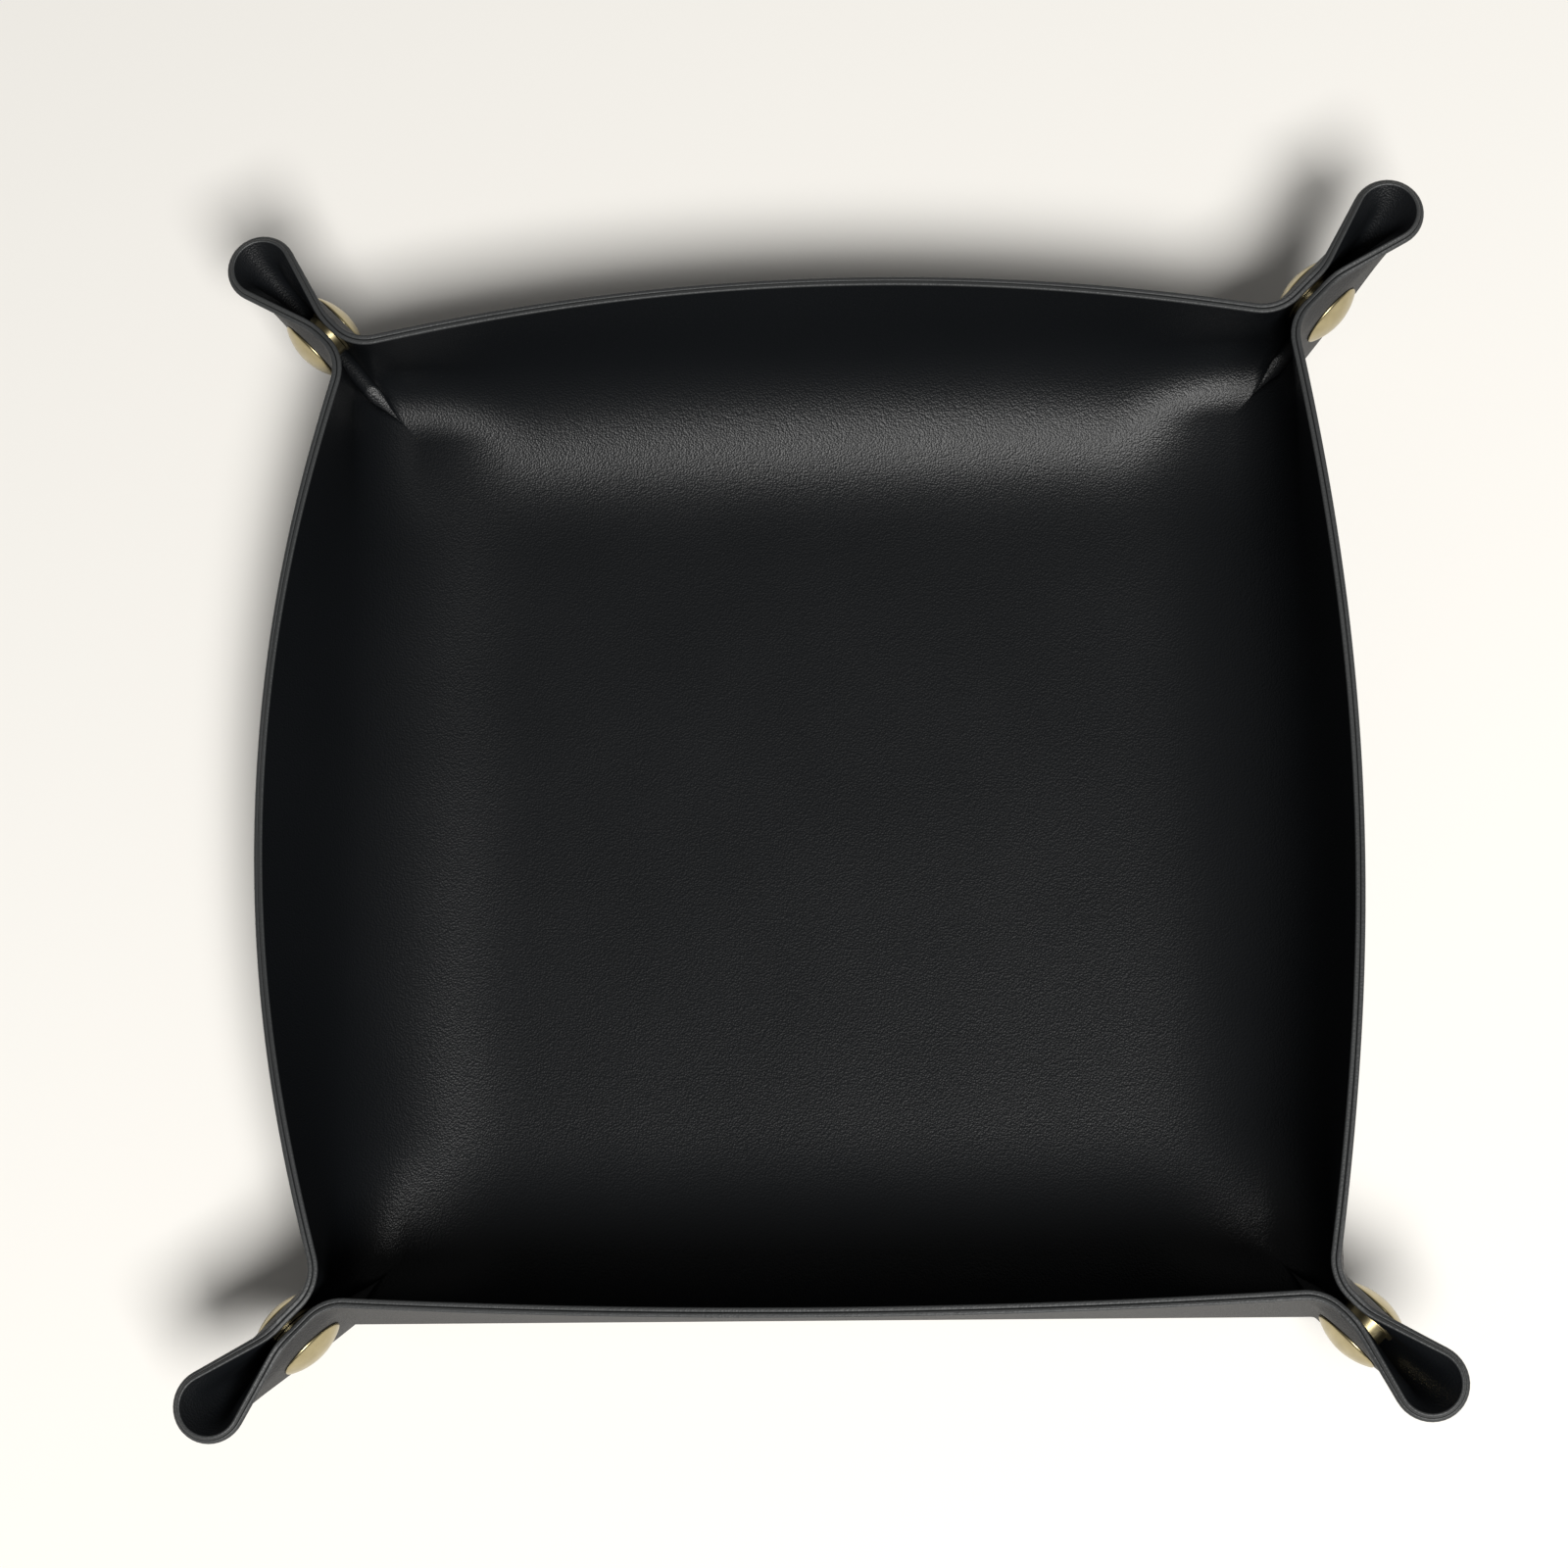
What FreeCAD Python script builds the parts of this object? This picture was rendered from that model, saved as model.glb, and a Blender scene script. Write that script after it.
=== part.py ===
import FreeCAD, Part
import math
import os
import Sketcher

# A square valet tray of two-layer leather. Four walls fold up from a floor panel, and each corner is
# pinched into an outward ear that a snap fastener holds. Origin at the middle of the underside, +Z up,
# the back wall on +Y. Lengths in millimetres, angles in degrees.

SIZES = {
    # leather sheet
    "floor_side": 156.6,
    "outer_leather": 0.9,
    "lining_leather": 0.9,
    "panel_gap": 0.3,
    # fold between the floor and a wall
    "fold_radius": 12.0,
    "crease_angle": 36.0,
    "wall_run": 32.5,
    "back_bend_angle": 74.8,
    "right_bend_angle": 77.0,
    "front_bend_angle": 90.0,
    "left_bend_angle": 64.2,
    "end_bend_angle": 96.0,
    "wall_overhang": 1.7,
    # corner ear
    "split_inset": 1.4,
    "ear_foot_height": 4.6,
    "ear_foot_land": 0.6,
    "long_ear_land": 5.5,
    "short_ear_land": 1.0,
    "pinch_radius": 3.5,
    "flare_radius": 15.0,
    "flare_angle": 17.0,
    "flank_length": 12.6,
    "crest_foot_gap": 2.6,
    # snap fastener
    "cap_margin": 0.2,
    "snap_height": 23.0,
    "snap_clearance": 0.2,
    "seat_gap": 0.08,
    "cap_radius": 6.25,
    "cap_height": 2.1,
    "cap_dome": 1.6,
    "cap_crown_radius": 5.9,
    "post_radius": 1.4,
    "post_clearance": 0.1,
    "leather_hole_radius": 1.7,
    "clinch_radius": 1.9,
    "clinch_height": 0.45,
    "socket_radius": 5.2,
    "socket_plate": 0.4,
    "socket_wall_radius": 4.3,
    "socket_height": 2.9,
    "socket_mouth_radius": 2.75,
    "groove_radius": 3.4,
    "groove_height": 0.8,
    "groove_offset": 1.5,
    "spring_ring_radius": 2.8,
    "spring_wire_radius": 0.3,
    "spring_arc": 310.0,
    "stud_radius": 4.6,
    "stud_plate": 0.5,
    "stud_neck_radius": 1.95,
    "stud_neck_height": 0.6,
    "stud_bulb_radius": 2.2,
    "stud_bulb_height": 0.8,
    "stud_nose_radius": 1.6,
    "stud_nose_height": 0.5,
    "stud_roof": 0.4,
}

# An ear is drawn at five levels from its foot to the rim. Its flare and flank are shares of the rim's.
FLARE_SHARES = (0.1, 0.1, 0.12, 0.4, 1.0)
FLANK_SHARES = (0.03, 0.03, 0.03, 0.3, 1.0)
OFFSET_SHARES = (0.85, 1.0, 1.0, 1.0, 0.55)
PINCH_SHARES = (0.7, 1.0, 1.0, 1.0, 1.0)
# The gap between the two halves along the crest, as a share of the gap at the foot.
CREST_SHARES = (1.0, 0.7, 0.35, 0.16, 0.15)
# Half width of the cap, as a share of its radius, at the levels that it lies on.
CAP_SHARES = {1: 0.0, 2: 1.0, 3: 0.0}
FOOT_LEVEL, SNAP_LEVEL, RIM_LEVEL = 0, 2, 4
# Slope of the line where a wall ends and its ear begins, as a share of the height below the rim.
SPLIT_SLOPE_SHARE = 0.11
STATION_SHARES = (-1.1, -0.55, 0.0, 0.55, 1.1)

WALLS = ("back", "right", "front", "left")
QUARTER_TURN = 90.0
DIAGONAL = math.radians(45.0)
SQUARE_ANGLE = math.radians(90.0)
ROOT_TWO = math.sqrt(2.0)
ORIGIN = FreeCAD.Vector()
ALONG_X = FreeCAD.Vector(1, 0, 0)
ALONG_Y = FreeCAD.Vector(0, 1, 0)
UP = FreeCAD.Vector(0, 0, 1)

doc = FreeCAD.newDocument("valet_tray")
sheet = doc.addObject("Spreadsheet::Sheet", "Sizes")
for row, (alias, value) in enumerate(SIZES.items(), start=1):
    sheet.set(f"A{row}", alias)
    sheet.set(f"B{row}", str(value))
    sheet.setAlias(f"B{row}", alias)
doc.recompute()


def size(alias):
    return float(sheet.get(alias))


# Values that follow from the driving sizes.
outer_leather = size("outer_leather")
lining_leather = size("lining_leather")
floor_half = size("floor_side") / 2
fold_radius = size("fold_radius")
crease = math.radians(size("crease_angle"))
mid_bend = {wall: math.radians(size(f"{wall}_bend_angle")) for wall in WALLS}
end_bend = math.radians(size("end_bend_angle"))
wall_half_length = floor_half + size("wall_overhang")
flare_radius = size("flare_radius")
snap_height = size("snap_height")
cap_radius = size("cap_radius")
seat_gap = size("seat_gap")
lining_gap = size("socket_height") + size("stud_plate") + size("snap_clearance") + 2 * seat_gap
ear_offset = lining_gap / 2 + lining_leather
LAYERS = {"outer": (0.0, outer_leather), "lining": (-lining_leather, 0.0)}

sub_parts = []


def add_feature(label, shape, quarter):
    """Formed piece of the back wall or corner, turned to the wall this many quarters clockwise."""
    feature = doc.addObject("Part::Feature", label)
    feature.Shape = shape
    feature.Placement = FreeCAD.Placement(ORIGIN, FreeCAD.Rotation(UP, -QUARTER_TURN * quarter))
    feature.Label = label
    sub_parts.append(feature)


# Walls: a fold that carries on from the floor's lip, then a straight run up to the bowed rim.
def bend_at(wall, along):
    """Bend angle of a wall at a distance along it: each leans by its own angle in the middle."""
    share = along / wall_half_length
    return mid_bend[wall] + (end_bend - mid_bend[wall]) * share * share


def fold_point(along, angle, offset):
    """Point in the fold of a wall, as at the back, offset outwards from the glue line."""
    radius = fold_radius + offset
    y = floor_half + radius * math.sin(angle)
    z = outer_leather + fold_radius - radius * math.cos(angle)
    return FreeCAD.Vector(along, y, z)


def rim_point(along, bend, offset):
    """Point on the rim where the wall is bent by this angle, offset outwards from the glue line."""
    run = size("wall_run") - fold_radius * (bend - crease)
    rise = FreeCAD.Vector(0, run * math.cos(bend), run * math.sin(bend))
    return fold_point(along, bend, offset) + rise


def fold_edge(along, first, last, offset):
    middle = (first + last) / 2
    points = [fold_point(along, angle, offset) for angle in (first, middle, last)]
    return Part.Arc(*points).toShape()


def wall_section(wall, along, inner, outer):
    """Closed section of one leather layer of a wall, from the crease to the rim."""
    start = crease + size("panel_gap") / fold_radius
    bend = bend_at(wall, along)
    inner_rim = rim_point(along, bend, inner)
    outer_rim = rim_point(along, bend, outer)
    edges = [
        fold_edge(along, start, bend, inner),
        Part.makeLine(fold_point(along, bend, inner), inner_rim),
        Part.makeLine(inner_rim, outer_rim),
        Part.makeLine(outer_rim, fold_point(along, bend, outer)),
        fold_edge(along, bend, start, outer),
        Part.makeLine(fold_point(along, start, outer), fold_point(along, start, inner)),
    ]
    return Part.Wire(edges)


rim_height = rim_point(wall_half_length, end_bend, 0.0).z
split_top = wall_half_length - size("split_inset")


def split_at(height):
    """Distance along a wall, at this height, of the line where the wall ends and an ear begins."""
    return split_top + (rim_height - height) * SPLIT_SLOPE_SHARE


def wall_blank():
    """Block that keeps the part of a wall between its two slanted ends."""
    top = rim_height + fold_radius
    low = split_at(0.0)
    high = split_at(top)
    corners = [(-low, 0.0), (low, 0.0), (high, top), (-high, top)]
    points = [FreeCAD.Vector(x, 0, z) for x, z in corners]
    face = Part.Face(Part.makePolygon(points + points[:1]))
    return face.extrude(ALONG_Y * size("floor_side"))


def wall_layer(wall, inner, outer):
    stations = [share * wall_half_length for share in STATION_SHARES]
    sections = [wall_section(wall, along, inner, outer) for along in stations]
    return Part.makeLoft(sections, True, False).common(wall_blank())


# Ears: level sections from a wall's end, round the pinch, past the snap and out to the crest.
def wall_plan(wall, along, height):
    """Glue line of a wall in a level cut: its distance out and its heading."""
    rise = height - outer_leather
    bend = bend_at(wall, along)
    tangent_rise = fold_radius * (1 - math.cos(bend))
    if rise < tangent_rise:
        angle = math.acos(1 - rise / fold_radius)
        return floor_half + fold_radius * math.sin(angle), 0.0
    slant = (rise - tangent_rise) / math.sin(bend)
    out = floor_half + fold_radius * math.sin(bend) + slant * math.cos(bend)
    bend_rate = 2 * (end_bend - mid_bend[wall]) * along / wall_half_length ** 2
    return out, math.atan(-slant / math.sin(bend) * bend_rate)


ear_levels = (size("ear_foot_height"), snap_height - cap_radius, snap_height,
              snap_height + cap_radius, rim_height)


def ear_neck(wall, level):
    """Start, heading and moves of the glue line round the pinch, and the reach of the neck behind it."""
    height = ear_levels[level]
    offset = ear_offset * OFFSET_SHARES[level]
    pinch = size("pinch_radius") * PINCH_SHARES[level]
    x = split_at(height) + size("panel_gap")
    y, heading = wall_plan(wall, x, height)
    pinch_x = pinch * (math.sin(DIAGONAL) - math.sin(heading))
    pinch_y = pinch * (math.cos(heading) - math.cos(DIAGONAL))
    spare = y + pinch_y - x - pinch_x - offset * ROOT_TWO
    run_in = spare / (math.cos(heading) - math.sin(heading))
    run_out = run_in * (math.cos(heading) + math.sin(heading))
    reach = (x + y + run_out + pinch_x + pinch_y) / ROOT_TWO
    return FreeCAD.Vector(x, y, height), heading, [(run_in, 0.0), (pinch, DIAGONAL - heading)], reach


def ear_tip(level):
    """Moves of the glue line from the end of the straight land to the crest, and their reach."""
    flare = math.radians(size("flare_angle")) * FLARE_SHARES[level]
    flank = size("flank_length") * FLANK_SHARES[level]
    gap = size("crest_foot_gap") * CREST_SHARES[level]
    rise = flare_radius * (1 - math.cos(flare)) + flank * math.sin(flare)
    tip_radius = (ear_offset * OFFSET_SHARES[level] + rise) / math.cos(flare)
    crest_turn = SQUARE_ANGLE + flare - math.asin(gap / 2 / tip_radius)
    reach = flare_radius * math.sin(flare) + flank * math.cos(flare) + tip_radius * (1 + math.sin(flare))
    return [(flare_radius, flare), (flank, 0.0), (tip_radius, -crest_turn)], reach


def neck_reach(level):
    """Reach of the neck that lies furthest out at this level."""
    return max(ear_neck(wall, level)[-1] for wall in WALLS)


snap_reach = neck_reach(SNAP_LEVEL) + cap_radius + size("cap_margin")


def crest_reach(rim_land, level):
    """Reach of the crest: straight up from the foot to the rim, and clear of the cap on its way."""
    foot = neck_reach(FOOT_LEVEL) + size("ear_foot_land") + ear_tip(FOOT_LEVEL)[1]
    rim = neck_reach(RIM_LEVEL) + rim_land + ear_tip(RIM_LEVEL)[1]
    climb = (ear_levels[level] - ear_levels[FOOT_LEVEL]) / (rim_height - ear_levels[FOOT_LEVEL])
    straight = foot + (rim - foot) * climb
    if level not in CAP_SHARES:
        return straight
    return max(straight, snap_reach + cap_radius * CAP_SHARES[level] + ear_tip(level)[1])


def ear_moves(wall, rim_land, level):
    """Start, heading and moves of the glue line at one level: pairs of length or radius, and turn."""
    start, heading, neck, reach = ear_neck(wall, level)
    tip, tip_reach = ear_tip(level)
    land = crest_reach(rim_land, level) - tip_reach - reach
    return start, heading, neck + [(land, 0.0)] + tip


def side_step(point, heading, distance):
    """Point this far to the left of a heading."""
    return point + FreeCAD.Vector(-math.sin(heading), math.cos(heading), 0) * distance


def ear_path(start, heading, moves, offset):
    """Edges of one side of a layer, offset to the left, which is the outside of the ear."""
    point = start
    edges = []
    for length, turn in moves:
        first = side_step(point, heading, offset)
        if turn == 0:
            point = point + FreeCAD.Vector(math.cos(heading), math.sin(heading), 0) * length
            edges.append(Part.LineSegment(first, side_step(point, heading, offset)))
            continue
        bulge = math.copysign(length, turn)
        centre = side_step(point, heading, bulge)
        middle = side_step(centre, heading + turn / 2, offset - bulge)
        heading = heading + turn
        point = side_step(centre, heading, -bulge)
        edges.append(Part.Arc(first, middle, side_step(point, heading, offset)))
    return edges


def ear_section(path, inner, outer):
    inside = ear_path(*path, inner)
    outside = ear_path(*path, outer)
    closing = [Part.LineSegment(inside[-1].EndPoint, outside[-1].EndPoint),
               Part.LineSegment(outside[0].StartPoint, inside[0].StartPoint)]
    back = [edge.toShape() for edge in reversed(outside)]
    edges = [edge.toShape() for edge in inside] + [closing[0].toShape()] + back + [closing[1].toShape()]
    return Part.Wire(Part.__sortEdges__(edges))


def snap_axis(mirrored):
    """Middle of the snap and its direction, from the outside of an ear half towards the corner's middle."""
    across = FreeCAD.Vector(1, -1, 0) / ROOT_TWO
    middle = FreeCAD.Vector(snap_reach / ROOT_TWO, snap_reach / ROOT_TWO, snap_height)
    if mirrored:
        return FreeCAD.Vector(-middle.x, middle.y, middle.z), FreeCAD.Vector(-across.x, across.y, 0)
    return middle, across


def ear_layer(wall, rim_land, inner, outer):
    """One leather layer of the ear half at the clockwise end of a wall, with its snap hole."""
    paths = [ear_moves(wall, rim_land, level) for level in range(len(ear_levels))]
    sections = [ear_section(path, inner, outer) for path in paths]
    middle, across = snap_axis(False)
    deep = ear_offset + outer_leather + cap_radius
    hole = Part.makeCylinder(size("leather_hole_radius"), deep, middle - across * deep, across)
    return Part.makeLoft(sections, True, False).cut(hole)


# Ears clockwise from the back right corner: the sheet sits a little askew.
ear_lands = (size("long_ear_land"), size("short_ear_land")) * 2

for quarter, wall in enumerate(WALLS):
    clockwise = WALLS[(quarter + 1) % len(WALLS)]
    counter = WALLS[quarter - 1]
    for layer, (inner, outer) in LAYERS.items():
        ear = ear_layer(wall, ear_lands[quarter], inner, outer)
        other_ear = ear_layer(wall, ear_lands[quarter - 1], inner, outer).mirror(ORIGIN, ALONG_X)
        add_feature(f"{wall}_wall_{layer}", wall_layer(wall, inner, outer), quarter)
        add_feature(f"{wall}_wall_{clockwise}_ear_{layer}", ear, quarter)
        add_feature(f"{wall}_wall_{counter}_ear_{layer}", other_ear, quarter)


# Bodies made of sketches whose coordinates are bound to the sheet.
def evaluate(expression):
    return float(sheet.evalExpression(expression))


def new_body(label):
    body = doc.addObject("PartDesign::Body", label)
    body.Label = label
    sub_parts.append(body)
    return body


def add_sketch(body, role, points, arcs):
    """Closed sketch through points given as expressions; arcs gives an edge's radius and its turn."""
    sketch = body.newObject("Sketcher::SketchObject", f"{body.Name}_sketch")
    plane = next(item for item in body.Origin.OriginFeatures if item.Role == role)
    sketch.AttachmentSupport = (plane, "")
    sketch.MapMode = "FlatFace"
    spots = [FreeCAD.Vector(evaluate(x), evaluate(y), 0) for x, y in points]
    ends = []
    for index, start in enumerate(spots):
        finish = spots[(index + 1) % len(spots)]
        if index not in arcs:
            sketch.addGeometry(Part.LineSegment(start, finish), False)
            ends.append((1, 2))
            continue
        radius, turn = arcs[index]
        sketch.addGeometry(arc_between(start, finish, evaluate(radius), turn), False)
        ends.append((1, 2) if turn > 0 else (2, 1))
    for index, (x, y) in enumerate(points):
        before = (index - 1) % len(points)
        here = ends[index][0]
        sketch.addConstraint(Sketcher.Constraint("Coincident", before, ends[before][1], index, here))
        for kind, expression in (("DistanceX", x), ("DistanceY", y)):
            limit = Sketcher.Constraint(kind, -1, 1, index, here, evaluate(expression))
            number = sketch.addConstraint(limit)
            sketch.setExpression(f"Constraints[{number}]", expression)
    for index, (radius, turn) in arcs.items():
        number = sketch.addConstraint(Sketcher.Constraint("Radius", index, evaluate(radius)))
        sketch.setExpression(f"Constraints[{number}]", radius)
    return sketch


def arc_between(start, finish, radius, turn):
    """Arc under a half circle from start to finish, turning left for a turn of 1 and right for -1."""
    chord = finish - start
    middle = (start + finish) / 2
    sideways = FreeCAD.Vector(-chord.y, chord.x, 0).normalize()
    depth = math.sqrt(radius ** 2 - (chord.Length / 2) ** 2)
    centre = middle + sideways * depth * turn
    first, last = (start, finish) if turn > 0 else (finish, start)
    angles = [math.atan2(spot.y - centre.y, spot.x - centre.x) for spot in (first, last)]
    return Part.ArcOfCircle(Part.Circle(centre, UP, radius), *angles)


# Floor panel: a flat square with a lip all round that starts the fold, mitred at the corners.
def add_floor(label, low, high, bottom_radius, top_radius):
    """One leather layer of the floor, between two heights and the matching radii of the fold."""
    body = new_body(label)
    side = "Sizes.floor_side"
    square = add_sketch(body, "XY_Plane", [("0", "0"), (side, "0"), (side, side), ("0", side)], {})
    square.setExpression("AttachmentOffset.Base.x", f"-{side} / 2")
    square.setExpression("AttachmentOffset.Base.y", f"-{side} / 2")
    square.setExpression("AttachmentOffset.Base.z", low)
    pad = body.newObject("PartDesign::Pad", f"{label}_pad")
    pad.Profile = square
    pad.setExpression("Length", f"({high}) - ({low})")
    lip_sine = "sin(Sizes.crease_angle * 1 deg)"
    lip_cosine = "cos(Sizes.crease_angle * 1 deg)"
    centre = "(Sizes.outer_leather + Sizes.fold_radius)"
    points = [
        (f"{side} / 2", low),
        (f"{side} / 2 + ({bottom_radius}) * {lip_sine}", f"{centre} - ({bottom_radius}) * {lip_cosine}"),
        (f"{side} / 2 + ({top_radius}) * {lip_sine}", f"{centre} - ({top_radius}) * {lip_cosine}"),
        (f"{side} / 2", high),
    ]
    lip = add_sketch(body, "YZ_Plane", points, {0: (bottom_radius, 1), 2: (top_radius, -1)})
    pipe = body.newObject("PartDesign::AdditivePipe", f"{label}_lip")
    pipe.Profile = lip
    pipe.Spine = (square, ["Edge1", "Edge2", "Edge3", "Edge4"])
    pipe.Transition = "Right corner"
    body.Tip = pipe


add_floor("floor_outer", "0", "Sizes.outer_leather",
          "Sizes.fold_radius + Sizes.outer_leather", "Sizes.fold_radius")
add_floor("floor_lining", "Sizes.outer_leather", "Sizes.outer_leather + Sizes.lining_leather",
          "Sizes.fold_radius", "Sizes.fold_radius - Sizes.lining_leather")

# Snap fasteners: turned pieces, drawn as a radius and a depth from the crown of the piece's own cap.
SEAT = "(Sizes.cap_height + Sizes.outer_leather + Sizes.lining_leather + 2 * Sizes.seat_gap)"
BORE = "(Sizes.post_radius + Sizes.post_clearance)"
STUD_SHOULDER = f"({SEAT} + Sizes.stud_plate + Sizes.stud_neck_height)"
STUD_END = f"({STUD_SHOULDER} + Sizes.stud_bulb_height + Sizes.stud_nose_height)"
SOCKET_FLOOR = f"({SEAT} + Sizes.socket_plate)"
GROOVE_START = f"({SEAT} + Sizes.groove_offset)"
GROOVE_END = f"({GROOVE_START} + Sizes.groove_height)"
CROWN_RADIUS = "(Sizes.cap_crown_radius ^ 2 + Sizes.cap_dome ^ 2) / (2 * Sizes.cap_dome)"


def cap_outline(post_end):
    """Domed cap with its post, whose end is given as further points back to the axis."""
    return [("0", "0"), ("Sizes.cap_crown_radius", "Sizes.cap_dome"), ("Sizes.cap_radius", "Sizes.cap_height"),
            ("Sizes.post_radius", "Sizes.cap_height")] + post_end


CLINCHED_END = [
    ("Sizes.post_radius", SOCKET_FLOOR),
    ("Sizes.clinch_radius", SOCKET_FLOOR),
    ("Sizes.post_radius", f"{SOCKET_FLOOR} + Sizes.clinch_height"),
    ("0", f"{SOCKET_FLOOR} + Sizes.clinch_height"),
]
PLAIN_DEPTH = f"{STUD_END} - Sizes.stud_roof - Sizes.post_clearance"
PLAIN_END = [("Sizes.post_radius", PLAIN_DEPTH), ("0", PLAIN_DEPTH)]
SOCKET_OUTLINE = [
    (BORE, SEAT),
    ("Sizes.socket_radius", SEAT),
    ("Sizes.socket_radius", SOCKET_FLOOR),
    ("Sizes.socket_wall_radius", SOCKET_FLOOR),
    ("Sizes.socket_wall_radius", f"{SEAT} + Sizes.socket_height"),
    ("Sizes.socket_mouth_radius", f"{SEAT} + Sizes.socket_height"),
    ("Sizes.socket_mouth_radius", GROOVE_END),
    ("Sizes.groove_radius", GROOVE_END),
    ("Sizes.groove_radius", GROOVE_START),
    ("Sizes.socket_mouth_radius", GROOVE_START),
    ("Sizes.socket_mouth_radius", SOCKET_FLOOR),
    (BORE, SOCKET_FLOOR),
]
STUD_OUTLINE = [
    (BORE, SEAT),
    ("Sizes.stud_radius", SEAT),
    ("Sizes.stud_radius", f"{SEAT} + Sizes.stud_plate"),
    ("Sizes.stud_neck_radius", f"{SEAT} + Sizes.stud_plate"),
    ("Sizes.stud_neck_radius", STUD_SHOULDER),
    ("Sizes.stud_bulb_radius", f"{STUD_SHOULDER} + Sizes.stud_bulb_height / 2"),
    ("Sizes.stud_nose_radius", STUD_END),
    ("0", STUD_END),
    ("0", f"{STUD_END} - Sizes.stud_roof"),
    (BORE, f"{STUD_END} - Sizes.stud_roof"),
]


def snap_placement(quarter, mirrored, axis, depth):
    """Placement that lays a piece's own axis along the snap, this deep from the crown of its cap."""
    middle, across = snap_axis(mirrored)
    crown = ear_offset + outer_leather + seat_gap + size("cap_height")
    local = FreeCAD.Placement(middle + across * (depth - crown), FreeCAD.Rotation(axis, across))
    return FreeCAD.Placement(ORIGIN, FreeCAD.Rotation(UP, -QUARTER_TURN * quarter)) * local


def add_turned(label, outline, arcs, quarter, mirrored):
    body = new_body(label)
    sketch = add_sketch(body, "XY_Plane", outline, arcs)
    turn = body.newObject("PartDesign::Revolution", f"{label}_turn")
    turn.Profile = sketch
    turn.ReferenceAxis = (sketch, ["V_Axis"])
    body.Placement = snap_placement(quarter, mirrored, ALONG_Y, 0.0)


def add_spring(label, quarter):
    spring = doc.addObject("Part::Torus", label)
    spring.setExpression("Radius1", "Sizes.spring_ring_radius")
    spring.setExpression("Radius2", "Sizes.spring_wire_radius")
    spring.setExpression("Angle3", "Sizes.spring_arc")
    depth = evaluate(f"({GROOVE_START} + {GROOVE_END}) / 2")
    spring.Placement = snap_placement(quarter, False, UP, depth)
    spring.Label = label
    sub_parts.append(spring)


CROWN = {0: (CROWN_RADIUS, 1)}
for quarter, wall in enumerate(WALLS):
    clockwise = WALLS[(quarter + 1) % len(WALLS)]
    counter = WALLS[quarter - 1]
    add_turned(f"{wall}_wall_{clockwise}_cap", cap_outline(CLINCHED_END), CROWN, quarter, False)
    add_turned(f"{wall}_{clockwise}_socket", SOCKET_OUTLINE, {}, quarter, False)
    add_spring(f"{wall}_{clockwise}_spring", quarter)
    add_turned(f"{wall}_wall_{counter}_cap", cap_outline(PLAIN_END), CROWN, quarter, True)
    add_turned(f"{counter}_{wall}_stud", STUD_OUTLINE, {}, quarter, True)

doc.recompute()
for item in doc.Objects:
    if "Invalid" in item.State or "Error" in item.State:
        raise RuntimeError(f"{item.Label} failed: {item.State}")
os.makedirs("parts", exist_ok=True)
for item in sub_parts:
    if item.Shape.isNull() or not item.Shape.isValid():
        raise RuntimeError(f"{item.Label} has no valid shape")
for item in sub_parts:
    item.Shape.exportStep(f"parts/{item.Label}.step")
    print(item.Label, round(item.Shape.Volume, 2), len(item.Shape.Solids))
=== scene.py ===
import math
import bpy
import numpy as np
from mathutils import Matrix, Vector


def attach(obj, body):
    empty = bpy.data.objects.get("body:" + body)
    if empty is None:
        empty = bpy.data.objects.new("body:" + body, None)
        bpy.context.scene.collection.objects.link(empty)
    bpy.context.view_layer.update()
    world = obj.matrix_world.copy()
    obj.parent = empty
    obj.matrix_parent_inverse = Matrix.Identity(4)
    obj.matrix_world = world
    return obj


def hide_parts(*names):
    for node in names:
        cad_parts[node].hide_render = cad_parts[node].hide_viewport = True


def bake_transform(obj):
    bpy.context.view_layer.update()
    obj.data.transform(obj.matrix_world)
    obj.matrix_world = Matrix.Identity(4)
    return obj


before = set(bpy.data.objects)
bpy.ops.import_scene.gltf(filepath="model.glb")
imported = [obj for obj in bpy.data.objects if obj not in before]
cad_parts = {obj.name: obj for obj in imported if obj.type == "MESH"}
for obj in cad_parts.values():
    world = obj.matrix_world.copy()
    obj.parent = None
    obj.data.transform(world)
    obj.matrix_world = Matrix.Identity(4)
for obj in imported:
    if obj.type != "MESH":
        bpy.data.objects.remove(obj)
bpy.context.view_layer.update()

# Visual model of the leather valet tray. Shapes are worked out in millimetres in the back wall's own
# place, then turned to each wall and scaled to metres.
MM = 0.001
WALLS = ("back", "right", "front", "left")
OUTER, LINING = 1, -1
HANDS = (1, -1)
ROOT_TWO = math.sqrt(2.0)
DIAGONAL = math.pi / 4

# Leather sheet. A wall starts with a lip up to its crease, and leans by its own angle in the middle.
FLOOR_HALF = 78.3
LAYER = 0.9
GLUE_GAP = 0.03
FOLD_RADIUS = 12.0
CREASE = math.radians(36.0)
WALL_RUN = 32.5
SHEET_RUN = WALL_RUN + FOLD_RADIUS * CREASE
MID_BEND_DEGREES = {"back": 74.8, "right": 77.0, "front": 90.0, "left": 64.2}
END_BEND = math.radians(96.0)
WALL_HALF = 80.0
RIM_HEIGHT = LAYER + FOLD_RADIUS * (1 - math.cos(END_BEND)) + (
    (SHEET_RUN - FOLD_RADIUS * END_BEND) * math.sin(END_BEND))

# Snap fastener.
SNAP_HEIGHT = 23.0
CAP_RADIUS = 6.25
CAP_HEIGHT = 2.1
CAP_MARGIN = 0.2
SEAT_GAP = 0.08

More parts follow.
